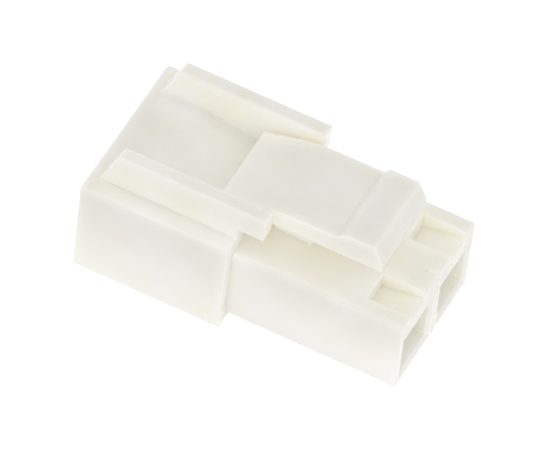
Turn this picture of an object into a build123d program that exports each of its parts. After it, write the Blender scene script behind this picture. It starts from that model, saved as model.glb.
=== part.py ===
from build123d import *
from math import radians, tan
import os

# Housing of a two-way wire-to-board connector: one moulding in natural nylon 66.
# X runs from the mating end to the wire end, Y across the circuits, Z up from the underside of the head.
# The origin is in the middle of the footprint, on the surface that the head rests on.

# Circuits and the cavities that hold their crimp contacts
circuits = 2
pitch = 3.96
cavity_width = 2.9
cavity_height = 2.6
side_wall = 0.5
floor_wall = 0.5
mating_wall = 1.4

# Body with the wire end, and the wider head that plugs into the board header
length = 17.0
body_lift = 0.45
body_height = 4.45
head_length = 7.9
head_rise = 0.7
head_step = 0.65
head_round = 0.13
body_round = 0.25
end_round = 0.08

# Pin entries through the mating wall
pin_entry = 1.9
pin_lead = 0.35

# Rails on the head, on either side of the header's locking wall
rail_inset = 1.0
rail_thickness = 0.82
rail_height = 2.0
rail_start = 0.5
rail_rake = 0.95
rail_overhang = 1.34
rail_toe = 1.33
rail_round = 0.12

# Channel between the rails: level at the mating end, then a slope down to the top of the body, which it reaches
# a little before the step
channel_flat = 2.0
channel_end = 0.9
channel_foot = 0.3

# Seesaw lever: hook at its drooping tail, thumb ridge at its tip
lever_width = 4.84
lever_thickness = 1.05
lever_rise = 2.46
lever_tail = 6.23
lever_bend = 9.2
lever_droop = 16.5
lever_round = 0.1
bend_round = 8
tail_thickness = 0.75
hook_depth = 0.3
hook_length = 0.9
ridge_place = 12.5
ridge_rise = 0.37
ridge_back = 0.4
ridge_width = 1.56
ridge_round = 0.25
nose_reach = 0.46
nose_drop = 0.94

# Waisted post that the lever rocks on
post_place = 9.9
post_length = 1.7
post_inset = 0.9
post_flare = 0.3

# Open slots over the wire ends of the cavities, each set a little outwards and shallower at its mouth
slot_width = 1.75
slot_length = 2.35
slot_shift = 0.2
slot_depth = 0.95
slot_mouth = 0.45

# Groove between the two silos, along the top and down the wire end
groove_width = 0.26
groove_depth = 0.24
groove_length = 0.76

# Windows in the underside, which the tongues of the contacts catch in
tongue_width = 1.5
tongue_length = 2.4
tongue_place = 8.9

# Lead-in around each wire entry
wire_lead = 0.16

# Places worked out from these sizes
mating_end = -length / 2
wire_end = length / 2
step = mating_end + head_length
body_width = (circuits - 1) * pitch + cavity_width + 2 * side_wall
head_width = body_width + 2 * head_step
body_top = body_lift + body_height
head_height = body_top + head_rise
lever_top = body_top + lever_rise
cavity_floor = body_lift + floor_wall
cavity_centre = cavity_floor + cavity_height / 2
rail_top = head_height + rail_height
rail_outer = head_width / 2 - rail_inset
rail_inner = rail_outer - rail_thickness
lever_under = lever_top - lever_thickness
overlap = body_round
closeness = 0.01

with BuildPart() as head:
    with BuildSketch(Plane.YZ.offset(mating_end)):
        with Locations((0, head_height / 2)):
            Rectangle(head_width, head_height)
    extrude(amount=head_length)
    fillet(head.edges().filter_by(Axis.X), head_round)
    fillet(head.faces().sort_by(Axis.X)[0].edges(), end_round)

with BuildPart() as body:
    with BuildSketch(Plane.YZ.offset(mating_end + head_length / 2)):
        with Locations((0, body_lift + body_height / 2)):
            Rectangle(body_width, body_height)
    extrude(amount=length - head_length / 2)
    fillet(body.edges().filter_by(Axis.X), body_round)
    fillet(body.faces().sort_by(Axis.X)[-1].edges(), end_round)

# Both rails, drawn from the side: a raked back, and a toe that reaches out over the body
with BuildPart() as rails:
    with BuildSketch(Plane.XZ.offset(rail_inner)):
        with BuildLine():
            Polyline(
                (mating_end + rail_start, head_height),
                (mating_end + rail_start + rail_rake, rail_top),
                (step + rail_overhang, rail_top),
                (step + rail_overhang, rail_top - rail_toe),
                (step, rail_top - rail_toe),
                (step, head_height),
                (step - overlap, head_height - overlap),
                (mating_end + rail_start, head_height - overlap),
                close=True,
            )
        make_face()
    extrude(amount=rail_thickness)
    fillet(rails.faces().sort_by(Axis.Z)[-1].edges(), rail_round)
    mirror(about=Plane.XZ)

# The lever from the side. Its tail droops into the channel and ends in the hook.
with BuildPart() as lever:
    with BuildSketch(Plane.XZ.offset(-lever_width / 2)) as side_view:
        with BuildLine():
            tail_x = mating_end + lever_tail
            bend_x = mating_end + lever_bend
            tail_top = lever_top - (bend_x - tail_x) * tan(radians(lever_droop))
            tail_under = tail_top - tail_thickness
            catch_x = tail_x + hook_length
            catch_under = tail_under + hook_length * tan(radians(lever_droop))
            ridge_x = mating_end + ridge_place + ridge_back
            nose_x = ridge_x + ridge_width + nose_reach
            ridge_top = lever_top + ridge_rise
            Polyline(
                (tail_x, tail_top),
                (bend_x, lever_top),
                (ridge_x - ridge_back, lever_top),
                (ridge_x, ridge_top),
                (ridge_x + ridge_width, ridge_top),
                (nose_x, ridge_top - nose_drop),
                (nose_x, lever_under),
                (bend_x, lever_under),
                (catch_x, catch_under),
                (catch_x, catch_under - hook_depth),
                (catch_x - hook_length / 3, catch_under - hook_depth),
                (tail_x, tail_under),
                close=True,
            )
        make_face()
        fillet(side_view.vertices().sort_by_distance((bend_x, lever_top))[0], bend_round)
        fillet(side_view.vertices().sort_by_distance((ridge_x - ridge_back, lever_top))[0], ridge_round)
        fillet(side_view.vertices().sort_by_distance((ridge_x, ridge_top))[0], ridge_round)
        fillet(side_view.vertices().sort_by_distance((ridge_x + ridge_width, ridge_top))[0], lever_round)
    extrude(amount=lever_width)

with BuildPart() as post:
    with BuildSketch(Plane.XZ.offset(-lever_width / 2 + post_inset)):
        with BuildLine():
            post_back = mating_end + post_place - post_length / 2
            post_front = mating_end + post_place + post_length / 2
            post_foot = body_top - overlap
            post_head = lever_under + overlap
            post_middle = (body_top + lever_under) / 2
            Line((post_back - post_flare, post_head), (post_front + post_flare, post_head))
            ThreePointArc(
                (post_front + post_flare, post_head),
                (post_front, post_middle),
                (post_front + post_flare, post_foot),
            )
            Line((post_front + post_flare, post_foot), (post_back - post_flare, post_foot))
            ThreePointArc(
                (post_back - post_flare, post_foot),
                (post_back, post_middle),
                (post_back - post_flare, post_head),
            )
        make_face()
    extrude(amount=lever_width - 2 * post_inset)

# One slot as a wedge, centred across
with BuildPart() as slot:
    with BuildSketch(Plane.XZ.offset(-slot_width / 2)):
        Polygon(
            (wire_end, body_top - slot_mouth),
            (wire_end, body_top),
            (wire_end - slot_length, body_top),
            (wire_end - slot_length, body_top - slot_depth),
            align=None,
        )
    extrude(amount=slot_width)

with BuildPart() as housing:
    add(head.part)
    add(body.part)

    # Channel floor between the rails
    with BuildSketch(Plane.XZ.offset(-rail_inner)):
        with BuildLine():
            slope_x = mating_end + channel_flat
            floor_x = step - channel_end
            Spline((slope_x, head_height), (floor_x, body_top), tangents=[(1, 0), (1, 0)])
            Polyline((floor_x, body_top), (step, body_top), (step, rail_top), (slope_x, rail_top), (slope_x, head_height))
        make_face()
    extrude(amount=2 * rail_inner, mode=Mode.SUBTRACT)

    # Rails, with a rounded foot where each meets the channel floor
    add(rails.part)
    feet = housing.edges().filter_by(lambda edge: abs(abs(edge.center().Y) - rail_inner) < closeness)
    feet = feet.filter_by_position(Axis.Z, body_top - closeness, head_height + closeness)
    feet = feet.filter_by_position(Axis.X, mating_end + rail_start, step - closeness)
    fillet(feet, channel_foot)

    add(lever.part)
    add(post.part)

    # Contact cavities, open at the wire end and stopped by the mating wall
    with BuildSketch(Plane.YZ.offset(mating_end + mating_wall)):
        with Locations((0, cavity_centre)):
            with GridLocations(pitch, 0, circuits, 1):
                Rectangle(cavity_width, cavity_height)
    extrude(amount=length - mating_wall, mode=Mode.SUBTRACT)
    with BuildSketch(Plane.YZ.offset(wire_end)):
        with Locations((0, cavity_centre)):
            with GridLocations(pitch, 0, circuits, 1):
                Rectangle(cavity_width + 2 * wire_lead, cavity_height + 2 * wire_lead)
    extrude(amount=-wire_lead, taper=45, mode=Mode.SUBTRACT)

    # Pin entries in the mating wall, with a lead-in for the header's posts
    with BuildSketch(Plane.YZ.offset(mating_end)):
        with Locations((0, cavity_centre)):
            with GridLocations(pitch, 0, circuits, 1):
                Rectangle(pin_entry, pin_entry)
    extrude(amount=mating_wall, mode=Mode.SUBTRACT)
    with BuildSketch(Plane.YZ.offset(mating_end)):
        with Locations((0, cavity_centre)):
            with GridLocations(pitch, 0, circuits, 1):
                Rectangle(pin_entry + 2 * pin_lead, pin_entry + 2 * pin_lead)
    extrude(amount=pin_lead, taper=45, mode=Mode.SUBTRACT)

    # Slots over the wire ends
    with GridLocations(0, pitch + 2 * slot_shift, 1, circuits):
        add(slot.part, mode=Mode.SUBTRACT)

    # Groove between neighbouring silos
    with BuildSketch(Plane.YZ.offset(wire_end)):
        with GridLocations(pitch, 0, circuits - 1, 1):
            Polygon(
                (-groove_width / 2, body_top),
                (groove_width / 2, body_top),
                (0, body_top - groove_depth),
                align=None,
            )
    extrude(amount=-groove_length, mode=Mode.SUBTRACT)
    with BuildSketch(Plane.XY.offset(body_lift)):
        with GridLocations(0, pitch, 1, circuits - 1):
            Polygon(
                (wire_end, -groove_width / 2),
                (wire_end, groove_width / 2),
                (wire_end - groove_depth, 0),
                align=None,
            )
    extrude(amount=body_height, mode=Mode.SUBTRACT)

    # Tongue windows through the floor of each cavity
    with BuildSketch(Plane.XY):
        with Locations((mating_end + tongue_place + tongue_length / 2, 0)):
            with GridLocations(0, pitch, 1, circuits):
                Rectangle(tongue_length, tongue_width)
    extrude(amount=cavity_centre, mode=Mode.SUBTRACT)

housing.part.label = "housing"
os.makedirs("parts", exist_ok=True)
export_step(housing.part, "parts/housing.step")
print(f"housing {length:.2f} x {head_width:.2f} x {ridge_top:.2f} mm, {housing.part.volume:.1f} mm3")
print(f"solids: {len(housing.part.solids())}")
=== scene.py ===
# %% [markdown]
# A two-way wire-to-board connector housing, lying on a white table
#
# The real object is one small moulding, 17 mm long, in natural nylon 66. It is ivory white and slightly translucent,
# so its deep corners turn warm instead of black, and its free-standing walls look a little grey. There is no paint,
# print or second part, so the whole picture depends on three things: the camera, the nylon, and very even light.
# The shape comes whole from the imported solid, so no piece is added here.

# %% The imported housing
import math

import bpy
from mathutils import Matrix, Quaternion, Vector

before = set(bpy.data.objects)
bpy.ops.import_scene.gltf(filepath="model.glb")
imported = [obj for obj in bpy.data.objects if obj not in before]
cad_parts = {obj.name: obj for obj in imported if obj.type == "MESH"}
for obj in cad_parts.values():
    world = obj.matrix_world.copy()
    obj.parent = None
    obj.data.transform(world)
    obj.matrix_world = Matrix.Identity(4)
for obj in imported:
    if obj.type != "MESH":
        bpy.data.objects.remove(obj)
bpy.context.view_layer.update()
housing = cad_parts["housing"]
MM = 0.001


# %% [markdown]
# The camera comes first, because everything else is judged through it. A long lens far away keeps the moulding's
# parallel edges almost parallel, as in a catalogue picture. It could be placed by trial, but an azimuth, an elevation
# and a roll say plainly how the housing was turned, and each can be corrected alone.

# %% Camera
AZIMUTH, ELEVATION, ROLL = 21.29, 49.38, 7.46
LENS_MM, SENSOR_MM = 660, 36
DISTANCE = 472.6 * MM
AIM = Vector((-0.177, -0.606, 3.896)) * MM

az, el = math.radians(AZIMUTH), math.radians(ELEVATION)
towards_camera = Vector((math.sin(az) * math.cos(el), -math.cos(az) * math.cos(el), math.sin(el)))
camera = bpy.data.objects.new("camera", bpy.data.cameras.new("camera"))
bpy.context.collection.objects.link(camera)
camera.location = AIM + DISTANCE * towards_camera
camera.rotation_mode = "QUATERNION"
level = (-towards_camera).to_track_quat("-Z", "Y")
camera.rotation_quaternion = level @ Quaternion((0, 0, 1), math.radians(ROLL))
camera.data.lens = LENS_MM
camera.data.sensor_width = SENSOR_MM
bpy.context.scene.camera = camera
print("camera, mm:", [round(c / MM, 1) for c in camera.location])

# %% [markdown]
# Colours are written as sRGB hex, the way a colour picker shows them. Blender's shaders work in linear light,
# so one function does the change for every colour in this file.

# %% From hex to linear
def linear(hex_colour):
    """Turns #RRGGBB into linear red, green and blue with an opaque alpha."""
    channels = [int(hex_colour[i : i + 2], 16) / 255 for i in (1, 3, 5)]
    return tuple(c / 12.92 if c <= 0.04045 else ((c + 0.055) / 1.055) ** 2.4 for c in channels) + (1.0,)


# %% One helper for every node
def add_node(tree, kind, links=(), **settings):
    """Adds a node. A setting in lower case is a property of the node, and any other names one of its inputs."""
    node = tree.nodes.new(kind)
    for name, value in settings.items():
        if hasattr(node, name):
            setattr(node, name, value)
        else:
            node.inputs[name.replace("_", " ")].default_value = value
    for source, target in links:
        tree.links.new(source, node.inputs[target])
    return node


# %% [markdown]
# Natural nylon 66, moulded. Without pigment the resin is ivory, and light goes in about half a millimetre before it
# comes back, which softens every edge. A plain diffuse white would look like plaster, so light scatters under the
# skin here. Light also leaves through the thin walls that stand free, so the lever and the rails look a little grey,
# while it gathers in corners, where blue dies first, so they stay light and turn straw-coloured. A volume shader is
# made for that, but it renders slowly. Here that light is painted into the base colour instead: the ambient occlusion
# node measures how open each spot is within a few millimetres, and a ramp paints pale straw light into the corners
# and grey shade onto the open walls.

# %% Natural nylon 66: painted light in corners, painted shade on open walls
nylon = bpy.data.materials.new("natural_nylon_66_moulded")
nylon.use_nodes = True
tree = nylon.node_tree
skin = tree.nodes["Principled BSDF"]
RECESS_MM = 5.0
CORNER_OPENNESS, WALL_OPENNESS = 0.25, 0.65
openness = add_node(tree, "ShaderNodeAmbientOcclusion", samples=8, Distance=RECESS_MM * MM)
painted_light_and_shade = add_node(tree, "ShaderNodeValToRGB", [(openness.outputs["AO"], "Fac")])
stops = painted_light_and_shade.color_ramp.elements
stops[0].position = CORNER_OPENNESS
stops.new(WALL_OPENNESS)
# Painted light and shade: the first stop is pale straw light painted into corners, and the last is grey shade painted
# onto open walls.
for stop, colour in zip(stops, ("#FFFDF5", "#FBF9F4", "#E9E8E3")):
    stop.color = linear(colour)
    print("resin at openness", round(stop.position, 2), "is", [round(c, 2) for c in stop.color])

# %% [markdown]
# Melt that cools while it flows leaves faint clouds in natural nylon, a few millimetres across. They are hard to see,
# but without them a white part looks drawn. A noise of that size multiplies the colour by almost one. The scattering
# is set here as well: red goes a little further into the resin than blue does.

# %% Natural nylon 66: clouds from the flow of the melt
CLOUD_MM = 3.0
SCATTER_MM = 0.6
place = add_node(tree, "ShaderNodeTexCoord").outputs["Object"]
cloud = add_node(tree, "ShaderNodeTexNoise", [(place, "Vector")], Scale=1 / (CLOUD_MM * MM), Detail=3.0)
veil = add_node(tree, "ShaderNodeValToRGB", [(cloud.outputs["Fac"], "Fac")])
for stop, position, colour in zip(veil.color_ramp.elements, (0.35, 0.65), ("#FBFAF6", "#FFFFFF")):
    stop.position = position
    stop.color = linear(colour)
FACTOR, COLOUR_A, COLOUR_B, COLOUR_RESULT = 0, 6, 7, 2
# The base colour is the painted corner light and wall shade, multiplied by the clouds of the melt.
both = [(painted_light_and_shade.outputs["Color"], COLOUR_A), (veil.outputs["Color"], COLOUR_B)]
clouds_and_painted_light = add_node(tree, "ShaderNodeMix", both, data_type="RGBA", blend_type="MULTIPLY")
clouds_and_painted_light.inputs[FACTOR].default_value = 1.0
tree.links.new(clouds_and_painted_light.outputs[COLOUR_RESULT], skin.inputs["Base Color"])
skin.inputs["Subsurface Weight"].default_value = 1.0
skin.inputs["Subsurface Radius"].default_value = (1.0, 0.98, 0.93)
skin.inputs["Subsurface Scale"].default_value = SCATTER_MM * MM
print("clouds", CLOUD_MM, "mm across, scattering", SCATTER_MM, "mm deep")

# %% [markdown]
# The cavity of the mould is spark-eroded, so the skin is satin: its grain is about a tenth of a millimetre wide and
# only microns high. It is drawn a sixth of a millimetre wide, the finest that this picture can show. Where the skin
# met the steel with less pressure it is a little duller, so the roughness drifts as well. The grain could be real
# geometry, but at a few microns it never shows in the outline, so a bump is enough.

# %% Natural nylon 66: satin skin
GRAIN_MM = 0.16
GRAIN_HEIGHT_MM = 0.004
DULL_PATCH_MM = 1.5
SHINY, DULL = 0.3, 0.42
skin.inputs["IOR"].default_value = 1.53
patches = add_node(tree, "ShaderNodeTexNoise", [(place, "Vector")], Scale=1 / (DULL_PATCH_MM * MM), Detail=2.0)
satin = add_node(tree, "ShaderNodeMapRange", [(patches.outputs["Fac"], "Value")], To_Min=SHINY, To_Max=DULL)
satin.inputs["From Min"].default_value = 0.3
satin.inputs["From Max"].default_value = 0.7
tree.links.new(satin.outputs["Result"], skin.inputs["Roughness"])
grain = add_node(tree, "ShaderNodeTexNoise", [(place, "Vector")], Scale=1 / (GRAIN_MM * MM), Detail=2.0)
bump = add_node(tree, "ShaderNodeBump", [(grain.outputs["Fac"], "Height")], Strength=0.5)
bump.inputs["Distance"].default_value = GRAIN_HEIGHT_MM * MM
tree.links.new(bump.outputs["Normal"], skin.inputs["Normal"])
housing.data.materials.clear()
housing.data.materials.append(nylon)
print(nylon.name, "with", len(tree.nodes), "nodes")

# %% [markdown]
# The table is plain white paper and takes the housing's shadow. It could be lit until it burns out, but that would
# also wash out the nylon. So the paper glows a little, but only for rays that come from the camera, or from it by way
# of a reflection or something clear. The nylon can mirror that glow, but isn't lit by it.

# %% White table
HALF_TABLE = 600 * MM
table_mesh = bpy.data.meshes.new("table")
corners = [(x * HALF_TABLE, y * HALF_TABLE, 0) for x, y in ((-1, -1), (1, -1), (1, 1), (-1, 1))]
table_mesh.from_pydata(corners, [], [(0, 1, 2, 3)])
table = bpy.data.objects.new("table", table_mesh)
bpy.context.collection.objects.link(table)
print("table, mm:", [round(side / MM) for side in table.dimensions])

# %% White paper
PAPER_GLOW = 0.6
paper = bpy.data.materials.new("white_paper")
paper.use_nodes = True
tree = paper.node_tree
sheet = tree.nodes["Principled BSDF"]
sheet.inputs["Base Color"].default_value = linear("#F4F4F4")
sheet.inputs["Roughness"].default_value = 0.9
ray = add_node(tree, "ShaderNodeLightPath").outputs
seen = ray["Is Camera Ray"]
for other in ("Is Glossy Ray", "Is Transmission Ray"):
    seen = add_node(tree, "ShaderNodeMath", [(seen, 0), (ray[other], 1)], operation="MAXIMUM").outputs[0]
glow = add_node(tree, "ShaderNodeMath", [(seen, 0)], operation="MULTIPLY")
glow.inputs[1].default_value = PAPER_GLOW
tree.links.new(glow.outputs[0], sheet.inputs["Emission Strength"])
sheet.inputs["Emission Color"].default_value = (1, 1, 1, 1)
table_mesh.materials.append(paper)
print(paper.name, "with", len(tree.nodes), "nodes")

# %% [markdown]
# Catalogue pictures of white parts are lit from nearly everywhere, with one side a little stronger so that the forms
# still read. The world gives the even part, and one large soft lamp in front gives the direction. Lamps all round
# could do both, but then every one would need its own balance.

# %% Studio light
WORLD_STRENGTH = 0.9
world = bpy.data.worlds.new("studio")
bpy.context.scene.world = world
world.use_nodes = True
sky = world.node_tree.nodes["Background"]
sky.inputs["Color"].default_value = (1, 1, 1, 1)
sky.inputs["Strength"].default_value = WORLD_STRENGTH
print("world strength", WORLD_STRENGTH)

# %% Key lamp
KEY_PLACE_MM, KEY_SIZE_MM, KEY_WATTS = (70, -180, 90), 120, 0.04
lamp = bpy.data.lights.new("key", "AREA")
lamp.shape = "DISK"
lamp.size = KEY_SIZE_MM * MM
lamp.energy = KEY_WATTS
key = bpy.data.objects.new("key", lamp)
key.location = Vector(KEY_PLACE_MM) * MM
key.rotation_mode = "QUATERNION"
key.rotation_quaternion = (-key.location).to_track_quat("-Z", "Y")
bpy.context.collection.objects.link(key)
print("key at", KEY_PLACE_MM, "mm,", KEY_WATTS, "W")

# %% [markdown]
# In white nylon most of the light in a corner has bounced many times. The usual four diffuse bounces would leave the
# recesses grey, so sixteen are traced. The Standard view shows each colour as it was written.

# %% Bounces and colour management
bpy.context.scene.cycles.max_bounces = 24
bpy.context.scene.cycles.diffuse_bounces = 16
bpy.context.scene.view_settings.view_transform = "Standard"
print("diffuse bounces", bpy.context.scene.cycles.diffuse_bounces)
